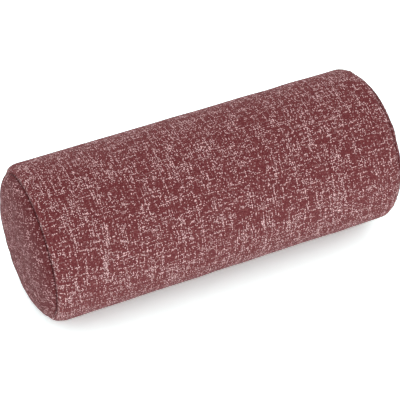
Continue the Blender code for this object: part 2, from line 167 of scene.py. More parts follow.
class Finish:
    """A material made of nodes on one surface shader."""

    def __init__(self, name, constants=None):
        self.material = bpy.data.materials.new(name)
        self.material.use_nodes = True
        self.tree = self.material.node_tree
        self.shader = self.tree.nodes["Principled BSDF"]
        for socket, value in (constants or {}).items():
            self.feed(self.shader, socket, value)

    def feed(self, node, socket, value):
        if isinstance(value, Wire):
            self.tree.links.new(value.socket, node.inputs[socket])
            return
        held = node.inputs[socket].default_value
        if hasattr(held, "__len__") and len(held) == 4 and len(value) == 3:
            value = (*value, 1.0)
        node.inputs[socket].default_value = value

    def node(self, kind, settings, values, out=0):
        made = self.tree.nodes.new(kind)
        for key, value in settings.items():
            setattr(made, key, value)
        pairs = values.items() if isinstance(values, dict) else enumerate(values)
        for socket, value in pairs:
            self.feed(made, socket, value)
        return Wire(self, made.outputs[out])

    def coordinates(self, name=None):
        """The piece's own map of that name, or its place in the object, as three wires."""
        if name:
            place = self.node("ShaderNodeUVMap", {"uv_map": name}, {})
        else:
            place = self.node("ShaderNodeTexCoord", {}, {}, "Object")
        return [self.node("ShaderNodeSeparateXYZ", {}, [place], i) for i in range(3)]

    def join(self, x, y, z=0.0):
        return self.node("ShaderNodeCombineXYZ", {}, [x, y, z])

    def noise(self, x, y, z=0.0, detail=1.0, roughness=0.5):
        values = {"Vector": self.join(x, y, z), "Scale": 1.0}
        values.update({"Detail": detail, "Roughness": roughness})
        return self.node("ShaderNodeTexNoise", {"noise_dimensions": "3D"}, values)

    def scatter(self, place):
        """A random amount from 0 to 1 for each place."""
        settings = {"noise_dimensions": "3D"}
        return self.node("ShaderNodeTexWhiteNoise", settings, {"Vector": place})

    def mix(self, factor, first, second):
        settings = {"data_type": "RGBA"}
        return self.node("ShaderNodeMix", settings, {0: factor, 6: first, 7: second}, 2)

    def relief(self, height, distance, strength=1.0):
        values = {"Height": height, "Distance": distance, "Strength": strength}
        self.feed(self.shader, "Normal", self.node("ShaderNodeBump", {}, values, "Normal"))

    def show(self, color=None, roughness=None):
        if color is not None:
            self.feed(self.shader, "Base Color", color)
        if roughness is not None:
            self.feed(self.shader, "Roughness", roughness)
        return self.material


def melange(name, pitch, turn, shades, flecks, streak, patch, relief):
    """Plain-woven cloth of dark yarns with pale slubs.

    A yarn is a cosine hump across its width, times a cosine wave along its length that
    carries it over one crossing and under the next; warp yarns run around the roll and weft
    yarns along it, and the higher one shows. How pale a yarn is comes from noise along it,
    which makes long streaks, plus a random amount at each crossing, which breaks them into
    dots. flecks is the level where paleness starts, how far above it the yarn is fully pale,
    and how much the crossings count; streak is the length of a streak, patch the size of the
    lighter patches and how far they lower the level.
    """
    finish = Finish(name, {"Sheen Weight": 0.04, "Sheen Roughness": 0.4, "Specular IOR Level": 0.1})
    u, v, _ = finish.coordinates("weave")
    if turn:
        c, s = math.cos(turn), math.sin(turn)
        u, v = u * c - v * s, u * s + v * c
    along = u + (finish.noise(u / 0.050, v / 0.050, 3.7) - 0.5) * pitch * 1.6
    around = v + (finish.noise(u / 0.050, v / 0.050, 9.1) - 0.5) * pitch * 1.6
    patches = finish.noise(u / patch[0], v / patch[0], 5.3, detail=2.0) - 0.5
    level = flecks[0] - patches * patch[1]

    def yarn(across, length, phase, seed):
        """The height of one set of yarns, how pale they are, and their own random amount at
        each crossing."""
        cell, other = across / pitch, length / pitch
        number = cell.floor()
        hump = ((cell - number - 0.5) * math.pi).cos()
        wave = ((other - 0.5 + number + phase) * math.pi).cos() * 0.5 + 0.5
        slub = finish.noise(length / streak, number * 13.7, seed, detail=2.0)
        crossing = finish.join(number, (other + number * 0.5).floor(), seed)
        nep = finish.scatter(crossing)
        amount = slub * 1.4 + nep * flecks[2] - level
        pale = amount.rise(-0.3, 0.15) * 0.15 + amount.rise(0.0, flecks[1]) * 0.85
        return hump * (wave * 0.75 + pale * 0.3), pale, nep

    warp, warp_pale, warp_tone = yarn(along, around, 0.0, 1.3)
    weft, weft_pale, weft_tone = yarn(around, along, 1.0, 6.9)
    height, on_top = warp.most(weft), warp.above(weft)
    fleck = weft_pale + (warp_pale - weft_pale) * on_top
    tone = weft_tone + (warp_tone - weft_tone) * on_top
    # painted shade mask: 1 on the yarns' crowns, 0 in the gaps between them
    crown_unshaded = height.rise(0.3, 0.8)
    # shades: the painted shade colour of the gaps, the yarns' ground colour and their pale colour
    shade, ground, light = shades
    fuzz = finish.noise(u / 0.0007, v / 0.0007, 2.2, detail=1.0)
    # painted shade: the base colour goes from the ground colour to the dark shade colour in the
    # gaps between the yarns, and also varies with a random tone at each crossing and with fuzz
    base = finish.mix(crown_unshaded * (fuzz * 0.3 + 0.35 + tone * 0.9), shade, ground)
    # the pale flecks fade out in the gaps too, which leaves the painted shade there
    color = finish.mix(fleck * height.rise(0.15, 0.6) * (fuzz * 0.5 + 0.75), base, light)
    finish.relief(height + fuzz * 0.2, relief)
    return finish.show(color, 0.97 - fleck * 0.1)


def fine_cloth(name, pitch, shades, relief):
    """A tight plain weave of one colour: the same humps and waves as the cover's, smaller,
    over slow changes of tone."""
    finish = Finish(name, {"Specular IOR Level": 0.2})
    u, v, _ = finish.coordinates("weave")
    across, along = u / pitch, v / pitch
    ribs = (across * math.tau).cos() * 0.5 + 0.5
    beats = ((along + across.floor() * 0.5) * math.tau).cos() * 0.5 + 0.5
    height = ribs * (beats * 0.6 + 0.4)
    tone = finish.noise(u / 0.006, v / 0.006, 1.7, detail=3.0)
    # painted shade: the colour is darker where the weave is low, in the gaps between the threads,
    # over slow random changes of tone
    color = finish.mix(height * 0.6 + tone * 0.4, *shades)
    finish.relief(height, relief)
    return finish.show(color, 0.92 - height * 0.08)


def twisted(name, shades):
    """Sewing thread: slanting bands of two tones, from a sine of the place along and across
    it, with a little fluff."""
    finish = Finish(name, {"Specular IOR Level": 0.3})
    x, y, z = finish.coordinates()
    bands = ((x + y * 0.7 + z * 0.9) * (math.tau / 0.0005)).sin() * 0.5 + 0.5
    fluff = finish.noise(x / 0.0003, y / 0.0003, z / 0.0003)
    finish.relief(bands + fluff * 0.5, 0.00006)
    return finish.show(finish.mix(bands * 0.7 + fluff * 0.3, *shades), 0.75 + fluff * 0.15)


def moulded(name, shades):
    """Nylon: nearly even, with faint clouding and a soft shine."""
    finish = Finish(name, {"Specular IOR Level": 0.5})
    x, y, z = finish.coordinates()
    cloud = finish.noise(x / 0.002, y / 0.002, z / 0.002, detail=3.0)
    finish.relief(cloud, 0.00003)
    return finish.show(finish.mix(cloud, *shades), cloud * 0.15 + 0.35)


def plated(name, shades):
    """Nickel-plated zinc: fine scratches along x, and duller, darker patches of handling."""
    finish = Finish(name, {"Metallic": 1.0})
    x, y, z = finish.coordinates()
    scratch = finish.noise(x / 0.004, y / 0.00012, z / 0.00012, detail=2.0)
    worn = finish.noise(x / 0.003, y / 0.003, z / 0.003, detail=3.0).rise(0.35, 0.7)
    finish.relief(scratch, 0.00001)
    color = finish.mix(worn * 0.7 + scratch * 0.3, *shades)
    return finish.show(color, scratch * 0.2 + worn * 0.15 + 0.18)


def fibrous(name, shades):
    """Polyester fleece: matted fibres, from noise that is stretched three ways."""
    finish = Finish(name, {"Sheen Weight": 0.3, "Specular IOR Level": 0.1})
    x, y, z = finish.coordinates()
    tufts = finish.noise(x / 0.006, y / 0.006, z / 0.006, detail=4.0)
    one = finish.noise(x / 0.004, y / 0.0004, z / 0.0004, detail=3.0, roughness=0.7)
    two = finish.noise(x / 0.0004, y / 0.004, z / 0.0006, detail=3.0, roughness=0.7)
    mat = one.most(two).rise(0.4, 0.7)
    finish.relief(mat + tufts, 0.0005)
    return finish.show(finish.mix(mat * 0.6 + tufts * 0.4, *shades), 0.97 - mat * 0.05)


def porous(name, shades):
    """Cut foam: small round cells, from the distance to scattered points."""
    finish = Finish(name, {"Specular IOR Level": 0.1})
    x, y, z = finish.coordinates()
    values = {"Vector": finish.join(x, y, z), "Scale": 900.0}
    cells = finish.node("ShaderNodeTexVoronoi", {"feature": "F1"}, values)
    wall = cells.rise(0.2, 0.7)
    tone = finish.noise(x / 0.02, y / 0.02, z / 0.02, detail=4.0)
    finish.relief(wall, 0.0004)
    return finish.show(finish.mix(wall * 0.6 + tone * 0.4, *shades), 0.98 - wall * 0.06)


# --- meshes


def link(mesh, finish):
    made = bpy.data.objects.new(mesh.name, mesh)
    bpy.context.scene.collection.objects.link(made)
    if finish:
        mesh.materials.append(finish)
    return made


def skin(name, points, finish, uv=None, around=False, loop=False, poles=(), flip=False):
    """A sheet of quads between neighbouring rows and columns of a grid of points.

    around joins the last column to the first, loop the last row to the first, and a pole
    (row, point) closes that end row with a fan of triangles. uv holds one place for each
    point.
    """
    rows, columns = points.shape[:2]
    number = np.arange(rows * columns).reshape(rows, columns)
    if around:
        number = np.concatenate([number, number[:, :1]], axis=1)
    if loop:
        number = np.concatenate([number, number[:1]])
    corner = np.stack([number[:-1, :-1], number[:-1, 1:], number[1:, 1:], number[1:, :-1]], 2)
    faces = corner.reshape(-1, 4).tolist()
    vertices = points.reshape(-1, 3)
    for row, point in poles:
        rim, pole = number[row], np.full(number.shape[1] - 1, len(vertices))
        order = (rim[:-1], rim[1:], pole) if row else (rim[1:], rim[:-1], pole)
        faces += np.stack(order, 1).tolist()
        vertices = np.concatenate([vertices, [point]])
    if flip:
        faces = [face[::-1] for face in faces]
    mesh = bpy.data.meshes.new(name)
    mesh.from_pydata(vertices.tolist(), [], faces)
    mesh.shade_smooth()
    if uv is not None:
        places = uv.reshape(-1, 2)
        if len(places) < len(vertices):
            places = np.concatenate([places, np.zeros((len(vertices) - len(places), 2))])
        loops = np.empty(len(mesh.loops), int)
        mesh.loops.foreach_get("vertex_index", loops)
        layer = mesh.uv_layers.new(name="weave")
        layer.data.foreach_set("uv", places[loops].astype(np.float32).ravel())
    mesh.update()
    return link(mesh, finish)


def tubes(name, paths, radius, up, sides, finish):
    """Round threads, one along each path: at every point of a path, a ring of points at the
    thread's radius in the plane square to the path; both ends are closed by flat caps."""
    along = np.gradient(paths, axis=1)
    along /= np.linalg.norm(along, axis=2, keepdims=True)
    across = np.cross(along, up)
    across /= np.linalg.norm(across, axis=2, keepdims=True)
    lift = np.cross(across, along)
    turn = np.arange(sides)[:, None] * math.tau / sides
    spoke = across[:, :, None] * np.cos(turn) + lift[:, :, None] * np.sin(turn)
    points = paths[:, :, None] + spoke * np.reshape(radius, (1, -1, 1, 1))
    count, steps = paths.shape[:2]
    number = np.arange(count * steps * sides).reshape(count, steps, sides)
    beside = np.roll(number, -1, axis=2)
    corner = [number[:, :-1], number[:, 1:], beside[:, 1:], beside[:, :-1]]
    faces = np.stack(corner, -1).reshape(-1, 4).tolist()
    faces += number[:, 0].tolist() + number[:, -1, ::-1].tolist()
    mesh = bpy.data.meshes.new(name)
    mesh.from_pydata(points.reshape(-1, 3).tolist(), [], faces)
    mesh.shade_smooth()
    mesh.update()
    return link(mesh, finish)


def stitches(name, centres, direction, outward, length, thickness, finish):
    """Short arched threads: each runs along its direction and rises outwards by its own
    thickness on half a sine wave, thinner where it dips into the cloth."""
    t = np.linspace(0, 1, 6)[None, :, None]
    arch = direction[:, None] * length * (t - 0.5)
    arch = arch + outward[:, None] * thickness * 1.3 * np.sin(math.pi * t)
    radius = thickness * (0.5 + 0.5 * np.sin(math.pi * t.ravel()))
    return tubes(name, centres[:, None] + arch, radius, outward[:, None], 6, finish)


def thicken(piece, thickness, even=True):
    """Gives a sheet its thickness, half to each side."""
    solid = piece.modifiers.new("cloth", "SOLIDIFY")
    solid.thickness, solid.offset, solid.use_even_offset = thickness, 0.0, even
    return piece


def done(piece, body, slot, *nodes):
    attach(piece, body)
    if nodes:
        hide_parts(*nodes)
    return piece


# --- the roll's shape


def rolled(x, radius, angle, floor=0.0):
    """Points at a distance from the roll's axis and an angle from the zip.

    x as given, y = radius cos(a), z = axis height + radius sin(a), where a is the angle
    past the zip's own, and z is kept above the floor.
    """
    turn = ZIP_ANGLE + angle
    y, z = radius * np.cos(turn), AXIS_HEIGHT + radius * np.sin(turn)
    return np.stack(np.broadcast_arrays(x, y, np.maximum(z, floor)), -1)


def ease(share):
    """A smooth step from 0 to 1."""
    share = np.clip(share, 0.0, 1.0)
    return share * share * (3 - 2 * share)


def ripple(angle, wavelength, seed, count=7):
    """A wavy function round the girth: a sum of sines with whole numbers of waves near the
    wavelength, each with its own phase and size, between about -1 and 1."""
    rng = np.random.default_rng(seed)
    waves = np.round(math.tau * RADIUS / wavelength * rng.uniform(0.6, 1.6, count))
    phases, sizes = rng.uniform(0, math.tau, count), rng.uniform(0.5, 1.0, count)
    parts = [s * np.sin(w * angle + p) for w, p, s in zip(waves, phases, sizes)]
    return sum(parts) / math.sqrt(0.6 * count)


def seam_pucker(angle, distance, seed):
    """How far the cloth is drawn in beside an end seam: the thread's gathers, one for each
    stitch, and broader puckers that fade with distance from the seam."""
    near, wide = np.exp(-distance / 0.0022), np.exp(-distance / 0.009)
    stitches = round(math.tau * SEAM_RADIUS / STITCH)
    gathers = 0.00012 * (1 + np.cos(stitches * angle)) * near
    return gathers + 0.00030 * ripple(angle, 0.011, seed) * wide


def body_profile(straight_rows=100):
    """Half a lengthwise section, from the middle to the right end seam and into its groove.

    A straight stretch, a quarter of an ellipse down to the seam (18 points), and a short
    turn inwards where the cloth meets the end panel's (5 points). Returns x, radius, the
    outward normal's two parts, and the length along the section from the middle.
    """
    turn = np.linspace(0, math.pi / 2, 18)
    x = STRAIGHT_END + SHOULDER_LENGTH * np.sin(turn)
    radius = SEAM_RADIUS + SHOULDER_DROP * np.cos(turn)
    dip = np.linspace(0, 1, 6)[1:]
    x = np.concatenate([np.linspace(0, STRAIGHT_END, straight_rows // 2)[:-1], x])
    radius = np.concatenate([np.full(straight_rows // 2 - 1, RADIUS), radius])
    x = np.concatenate([x, BODY_END + (SEAM_GAP / 2 - SEAM_CLEARANCE) * ease(dip * 1.6)])
    radius = np.concatenate([radius, SEAM_RADIUS - GROOVE * dip])
    step_x, step_r = np.gradient(x), np.gradient(radius)
    size = np.hypot(step_x, step_r)
    length = np.concatenate([[0], np.cumsum(np.hypot(np.diff(x), np.diff(radius)))])
    return x, radius, -step_r / size, step_x / size, length


def mirrored(profile):
    """The whole section from the left groove to the right one, from its right half."""
    x, radius, normal_x, normal_r, length = profile
    back = slice(None, 0, -1)
    signs = (-1, 1, -1, 1, -1)
    halves = zip(signs, (x, radius, normal_x, normal_r, length))
    return [np.concatenate([sign * half[back], half]) for sign, half in halves]


def mouth(x):
    """From the zip's middle to each fold: wide along the zip, and a closed seam past its
    ends."""
    share = ease((TAPER_END - np.abs(x)) / MOUTH_TAPER)
    return SEAM_CLEARANCE + (ZIP_MOUTH - SEAM_CLEARANCE) * share


def make_body(finish, swell):
    """The rolled panel: a section from hem to hem (in under the fold, round the fold, round
    the roll and back), carried along the lengthwise section, pushed out by the simulated
    swell, and drawn in at its seams."""
    x, radius, normal_x, normal_r, length = (a[:, None] for a in mirrored(body_profile()))
    turn_radius = (CLOTH + GAP) / 2
    bend = np.linspace(0, math.pi, 7)
    inner = CLOTH / 2 + HEM_DEPTH
    middle = mouth(x) + turn_radius + CLOTH / 2
    hem_share = np.linspace(0, 1, 5)[None, :-1]
    hem_reach = mouth(x) + HEM + (middle - mouth(x) - HEM) * hem_share
    fold_reach = middle - turn_radius * np.sin(bend)[None]
    reach = np.concatenate([hem_reach, fold_reach], 1)
    depth = np.concatenate([np.full(4, inner), inner - turn_radius * (1 - np.cos(bend))])
    first = reach[:, -1:] / RADIUS
    share = np.linspace(0, 1, 242)[None, 1:-1]
    girth = first + (math.tau - 2 * first) * share
    angle = np.concatenate([reach / RADIUS, girth, math.tau - reach[:, ::-1] / RADIUS], 1)
    depth = np.concatenate([depth, np.full(240, CLOTH / 2), depth[::-1]])[None]
    distance = np.maximum(length.max() - GROOVE - np.abs(length), 0)
    pucker = np.where(x > 0, seam_pucker(angle, distance, 11), seam_pucker(angle, distance, 12))
    from_zip = np.abs(np.remainder(angle + math.pi, math.tau) - math.pi) * RADIUS
    stitch_line = np.exp(-(((from_zip - mouth(x) - TOPSTITCH_OFFSET) / 0.0009) ** 2))
    along_zip = ease((TAPER_END - np.abs(x)) / 0.002)
    pull = 0.00022 * stitch_line * along_zip * (1.2 + 0.5 * np.cos(math.tau * x / STITCH))
    long_seam = 0.0004 * np.exp(-from_zip / 0.003) * (1 - along_zip)
    outer = ease((inner - depth) / (inner - CLOTH / 2))
    outer = outer * ease((radius - SEAM_RADIUS + 0.0004) / 0.0016)
    inward = depth + (pucker + pull + long_seam) * outer
    pushed = swell.body(np.broadcast_to(length, angle.shape), angle) * outer
    reach_r = radius - inward * normal_r + pushed * normal_r
    place_x = x - (inward - pushed) * normal_x
    points = rolled(place_x, reach_r, angle, CLOTH / 2)
    uv = np.stack(np.broadcast_arrays(length, angle * RADIUS), -1)
    piece = skin("cover_body", points, finish, uv)
    return thicken(piece, CLOTH)


def end_profile():
    """The end panel's section from near its middle to its rim and into the groove: a domed
    curve x = base + height (1 - share^6), then a round turn of 137 degrees that leaves the
    cloth facing the body's, then straight in. Returns x, radius and length along it."""
    share = np.linspace(0, 1, 46)[1:] ** 0.62 * 0.984
    radius = share * SEAM_RADIUS
    x = DOME_BASE + DOME_HEIGHT * (1 - share**DOME_POWER)
    slope = DOME_HEIGHT * DOME_POWER * share[-1] ** (DOME_POWER - 1) / SEAM_RADIUS
    start = math.atan(slope)
    turn = np.linspace(start, math.pi, 12)[1:]
    bend = (x[-1] - SEAM_X - SEAM_CLEARANCE) / (math.cos(start) + 1)
    x_turn = x[-1] - bend * (math.cos(start) - np.cos(turn))
    r_turn = radius[-1] + bend * (np.sin(turn) - math.sin(start))
    dip = np.linspace(0, 1, 4)[1:]
    x = np.concatenate([x, x_turn, np.full(3, x_turn[-1])])
    radius = np.concatenate([radius, r_turn, r_turn[-1] - 0.0016 * dip])
    length = np.concatenate([[0], np.cumsum(np.hypot(np.diff(x), np.diff(radius)))]) + radius[0]
    return x, radius, length


def make_end(name, side, finish, swell, seed):
    """A domed end panel: its section turned round the axis, puckered along its rim."""
    x, radius, length = end_profile()
    step_x, step_r = np.gradient(x), np.gradient(radius)
    size = np.hypot(step_x, step_r)
    normal_x, normal_r = step_r / size, -step_x / size
    angle = np.linspace(0, math.tau, 288, endpoint=False)[None]
    rim = length[-4]
    distance = np.maximum(rim - length, 0)[:, None]
    shown = ease((x - SEAM_X - 0.0004) / 0.0012)[:, None]
    inward = CLOTH / 2 + seam_pucker(angle, distance, seed) * shown
    along, angles = np.broadcast_arrays(length[:, None], angle)
    inward = inward - swell.end(side, along, angles) * shown
    reach = radius[:, None] - inward * normal_r[:, None]
    place_x = side * (x[:, None] - inward * normal_x[:, None])
    points = rolled(place_x, reach, angle, CLOTH / 2)
    flat_y, flat_z = radius[:, None] * np.cos(angle), radius[:, None] * np.sin(angle)
    uv = np.stack([flat_y * side, flat_z], -1)
    centre = rolled(points[0, :, 0].mean(), 0.0, 0.0)
    piece = skin(name, points, finish, uv, True, poles=[(0, centre)], flip=side < 0)
    return thicken(piece, CLOTH)


# --- how the cover swells over its cushion


def cubic(field, row, column):
    """A grid's values between its points: Catmull-Rom splines along rows and columns, where
    rows stop at the ends and columns go round."""

    def weights(f):
        return (
            (-f + 2 * f**2 - f**3) / 2,
            (2 - 5 * f**2 + 3 * f**3) / 2,
            (f + 4 * f**2 - 3 * f**3) / 2,
            (-(f**2) + f**3) / 2,
        )

    i, j = np.floor(row).astype(int), np.floor(column).astype(int)
    total = 0.0
    for a, wa in enumerate(weights(row - i)):
        for b, wb in enumerate(weights(column - j)):
            near = np.clip(i + a - 1, 0, field.shape[0] - 1), (j + b - 1) % field.shape[1]
            total = total + wa * wb * field[near]
    return total


class Swell:
    """How far the cover stands out over its cushion, from a cloth simulation of the whole
    cover as one closed skin that is held along its two end seams."""

    COLUMNS = 108
    FRAMES = 20
    STAND = 0.0007  # the cap on the even swell
    MOST = 0.0006  # the cap on the folds

    def __init__(self, simulated):
        end_x, end_r, end_length = end_profile()
        widest = int(np.argmax(end_r))
        keep = np.append(np.arange(3, widest - 3, 5), widest)
        self.end_length = end_length[keep]
        x, radius, _, _, length = (a[:-5] for a in body_profile(84))
        x, radius, length = x[::2], radius[::2], length[::2]
        self.body_length = np.concatenate([-length[:0:-1], length])
        self.body_field = np.zeros((len(self.body_length), self.COLUMNS))
        self.end_field = {side: np.zeros((len(keep), self.COLUMNS)) for side in (-1, 1)}
        if simulated:
            self.simulate((end_x[keep], end_r[keep]), (x, radius))

    def simulate(self, end, half):
        """Blows the skin out for 20 frames and keeps how far each point moves outwards."""
        body_x = np.concatenate([-half[0][:0:-1], half[0]])
        body_r = np.concatenate([half[1][:0:-1], half[1]])
        x = np.concatenate([-end[0][:-1], body_x, end[0][-2::-1]])
        radius = np.concatenate([end[1][:-1], body_r, end[1][-2::-1]])
        step_x, step_r = np.gradient(x), np.gradient(radius)
        size = np.hypot(step_x, step_r)
        outward = np.stack([-step_r / size, step_x / size], -1)[:, None]
        angle = np.linspace(0, math.tau, self.COLUMNS, endpoint=False)[None]
        rng = np.random.default_rng(5)
        rows, columns = np.arange(len(x))[:, None] / 3.1, angle * 36 / math.tau
        rough = cubic(rng.normal(0, 0.0003, (30, 36)), *np.broadcast_arrays(rows, columns))
        seams = [len(end[0]) - 1, len(x) - len(end[0])]
        rough[seams] = 0
        start = rolled(
            x[:, None] + rough * outward[..., 0], radius[:, None] + rough * outward[..., 1], angle
        )
        poles = [(0, rolled(x[0], 0.0, 0.0)), (len(x) - 1, rolled(x[-1], 0.0, 0.0))]
        piece = skin("swelling_skin", start, None, around=True, poles=poles)
        held = piece.vertex_groups.new(name="held")
        for row in seams:
            held.add(list(range(row * self.COLUMNS, (row + 1) * self.COLUMNS)), 1.0, "REPLACE")
        cloth = piece.modifiers.new("cloth", "CLOTH")
        cloth.point_cache.frame_end = self.FRAMES
        settings = cloth.settings
        settings.quality, settings.mass, settings.air_damping = 6, 0.25, 3.0
        settings.use_pressure, settings.uniform_pressure_force = True, 4.0
        settings.vertex_group_mass = held.name
        settings.shrink_min = -0.012
        settings.bending_stiffness = 0.3
        settings.effector_weights.gravity = 0.0
        for number in range(1, self.FRAMES + 1):
            bpy.context.scene.frame_set(number)
        shown = piece.evaluated_get(bpy.context.evaluated_depsgraph_get()).data
        moved = np.empty(len(shown.vertices) * 3)
        shown.vertices.foreach_get("co", moved)
        moved = moved.reshape(-1, 3)[: start.shape[0] * start.shape[1]].reshape(start.shape)
        bpy.context.scene.frame_set(1)
        bpy.data.objects.remove(piece)
        reach = np.hypot(moved[..., 1], moved[..., 2] - AXIS_HEIGHT)
        out = (moved[..., 0] - x[:, None]) * outward[..., 0]
        out += (reach - radius[:, None]) * outward[..., 1]
        folds = out - out.mean(1, keepdims=True)
        folds *= 0.35 * self.MOST / max(folds.std(), 1e-9)
        stand = out.mean(1, keepdims=True)
        stand = self.STAND * stand / max(np.percentile(stand, 80), 1e-9)
        field = np.clip(stand, 0, self.STAND) + self.MOST * np.tanh(folds / self.MOST)
        field[seams] = 0
        self.body_field = field[seams[0] : seams[1] + 1]
        self.end_field = {-1: field[: seams[0] + 1], 1: field[: seams[1] - 1 : -1]}

    def body(self, length, angle):
        row = np.interp(length, self.body_length, np.arange(len(self.body_length)))
        return cubic(self.body_field, row, angle * self.COLUMNS / math.tau)

    def end(self, side, length, angle):
        row = np.interp(length, self.end_length, np.arange(len(self.end_length)))
        return cubic(self.end_field[side], row, angle * self.COLUMNS / math.tau)


# --- stitches and zip


def from_zip(x, height, across):
    """Points in the zip's own frame: height from the roll's axis out through the zip's
    middle, and across it towards the upper side."""
    y = height * math.cos(ZIP_ANGLE) - across * math.sin(ZIP_ANGLE)
    z = AXIS_HEIGHT + height * math.sin(ZIP_ANGLE) + across * math.cos(ZIP_ANGLE)
    return np.stack(np.broadcast_arrays(x, y, z), -1)


def ring_stitches(name, x, radius, slant, length, thickness, finish):
    """One stitch after another round a circle about the roll's axis, each crossing the seam
    at a slant: its direction is x plus slant times the way round."""
    count = round(math.tau * radius / STITCH)
    angle = np.arange(count) * math.tau / count
    centres = rolled(x, radius, angle, thickness)
    turn = ZIP_ANGLE + angle
    outward = np.stack([0 * turn, np.cos(turn), np.sin(turn)], -1)
    round_about = np.stack([0 * turn, -np.sin(turn), np.cos(turn)], -1)
    direction = np.array([[1.0, 0, 0]]) + slant * round_about
    direction /= np.linalg.norm(direction, axis=1, keepdims=True)
    return stitches(name, centres, direction, outward, length, thickness, finish)


def seam_stitches(name, side, finish):
    return ring_stitches(name, side * SEAM_X, SEAM_RADIUS - 0.0019, 1.6, 0.0021, 0.00028, finish)


def liner_stitches(name, side, finish):
    x = side * (SEAM_X - 0.0016)
    return ring_stitches(name, x, SEAM_RADIUS - 0.0039, 3.0, 0.0022, 0.0002, finish)


def straight_stitches(name, x, angle, sunk, heading, length, thickness, finish):
    """Stitches on the straight stretch at given places along and round it; heading is 0 for
    stitches along x and a right angle for stitches round the roll."""
    x, angle, heading = np.broadcast_arrays(x, angle, heading)
    centres = rolled(x, RADIUS - sunk, angle)
    turn = ZIP_ANGLE + angle
    outward = np.stack([0 * turn, np.cos(turn), np.sin(turn)], -1)
    direction = np.stack(
        [np.cos(heading), -np.sin(heading) * np.sin(turn), np.sin(heading) * np.cos(turn)], -1
    )
    return stitches(name, centres, direction, outward, length, thickness, finish)


def long_seam_stitches(name, side, finish):
    """A ladder of short threads across the closed seam past the end of the zip."""
    x = side * np.arange(TAPER_END + STITCH, STRAIGHT_END + 0.006, STITCH)
    return straight_stitches(name, x, 0.0, 0.0010, 1.1, 0.0019, 0.00026, finish)


def liner_long_stitches(finish):
    x = np.arange(-STRAIGHT_END, STRAIGHT_END, STITCH)
    sunk = LINER_DEPTH + LINER_CLOTH / 2
    angle = math.tau * 20 / 48
    name = "liner_long_seam_stitches"
    return straight_stitches(name, x, angle, sunk, 0.9, 0.0022, 0.0002, finish)


def zip_stitches(finish):
    """A row of stitches along each side of the zip and a bar of them across each end."""
    reach = ZIP_MOUTH + TOPSTITCH_OFFSET
    row = np.arange(-TAPER_END + STITCH / 2, TAPER_END, STITCH)
    bar = np.arange(-reach + STITCH / 2, reach, STITCH * 0.8)
    x = np.concatenate([row, row, 0 * bar - TAPER_END - 0.0004, 0 * bar + TAPER_END + 0.0004])
    across = np.concatenate([0 * row + reach, 0 * row - reach, bar, bar])
    heading = np.concatenate([0 * row, 0 * row, 0 * bar + math.pi / 2, 0 * bar + math.pi / 2])
    return straight_stitches(
        "zip_row_stitches", x, across / RADIUS, 0.00005, heading, 0.0025, 0.00026, finish
    )


def make_tape(word, side, finish):
    """A woven tape beside the zip: a strip of the roll's girth."""
    low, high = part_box(f"zip_tape_{word}")
    x = np.linspace(low.x, high.x, 80)[:, None]
    reach = side * np.linspace(*TAPE_REACH, 16)[None]
    points = rolled(x, RADIUS - TAPE_DEPTH - TAPE_CLOTH / 2 + 0 * reach, reach / RADIUS)
    uv = np.stack(np.broadcast_arrays(x, reach), -1)
    piece = skin(f"zip_{word}_tape", points, finish, uv, flip=side < 0)
    return thicken(piece, TAPE_CLOTH)


def make_coil(word, side, finish):
    """A nylon coil: a flattened helix, x growing steadily while the section runs round an
    oval, whose inner bend reaches just past the middle between two bends of the other
    coil."""
    pitch, wire, steps = 0.0014, 0.0003, 12
    turns = int((2 * COIL_END - 2 * wire) / pitch)
    t = np.arange(turns * steps + 1) / steps
    phase = 0.0 if side > 0 else 0.5
    x = -COIL_END + wire + pitch * (t[: (turns - 1) * steps] + phase)
    turn = math.tau * t[: (turns - 1) * steps]
    inner, outer = -0.00055 + wire, TEETH_REACH - wire
    across = (inner + outer) / 2 + (outer - inner) / 2 * -np.cos(turn)
    height = (COIL_BASE + COIL_TOP) / 2 + ((COIL_TOP - COIL_BASE) / 2 - wire) * np.sin(turn)
    path = from_zip(x, height, side * across)[None]
    return tubes(f"zip_{word}_nylon_coil", path, wire, np.array([1.0, 0, 0]), 5, finish)


def make_block(name, x, height, across, bend, finish):
    """A small pressed block in the zip's frame: a box whose edges are rounded, from points
    on a sphere pushed out to a smaller box's faces and then out by the bend's radius."""
    u = np.linspace(0, math.tau, 24, endpoint=False)[None]
    v = np.linspace(0, math.pi, 14)[1:-1, None]
    parts = np.cos(v), np.sin(v) * np.cos(u), np.sin(v) * np.sin(u)
    unit = np.stack(np.broadcast_arrays(*parts), -1)
    low, high = np.array([x[0], height[0], across[0]]), np.array([x[1], height[1], across[1]])
    middle, half = (low + high) / 2, (high - low) / 2
    core = half - bend
    place = middle + np.clip(unit * 4 * core.max(), -core, core) + unit * bend
    points = from_zip(place[..., 0], place[..., 1], place[..., 2])
    ends = [from_zip(middle[0] + end * half[0], middle[1], middle[2]) for end in (1, -1)]
    poles = [(0, ends[0]), (len(v) - 1, ends[1])]
    return skin(name, points, finish, None, around=True, poles=poles, flip=True)


def merged(name, pieces, finish):
    """Several closed pieces made into one object."""
    joined = bmesh.new()
    for piece in pieces:
        joined.from_mesh(piece.data)
        bpy.data.objects.remove(piece)
    mesh = bpy.data.meshes.new(name)
    joined.to_mesh(mesh)
    joined.free()
    mesh.shade_smooth()
    return link(mesh, finish)


PLATE = 0.0008  # the slider's plates


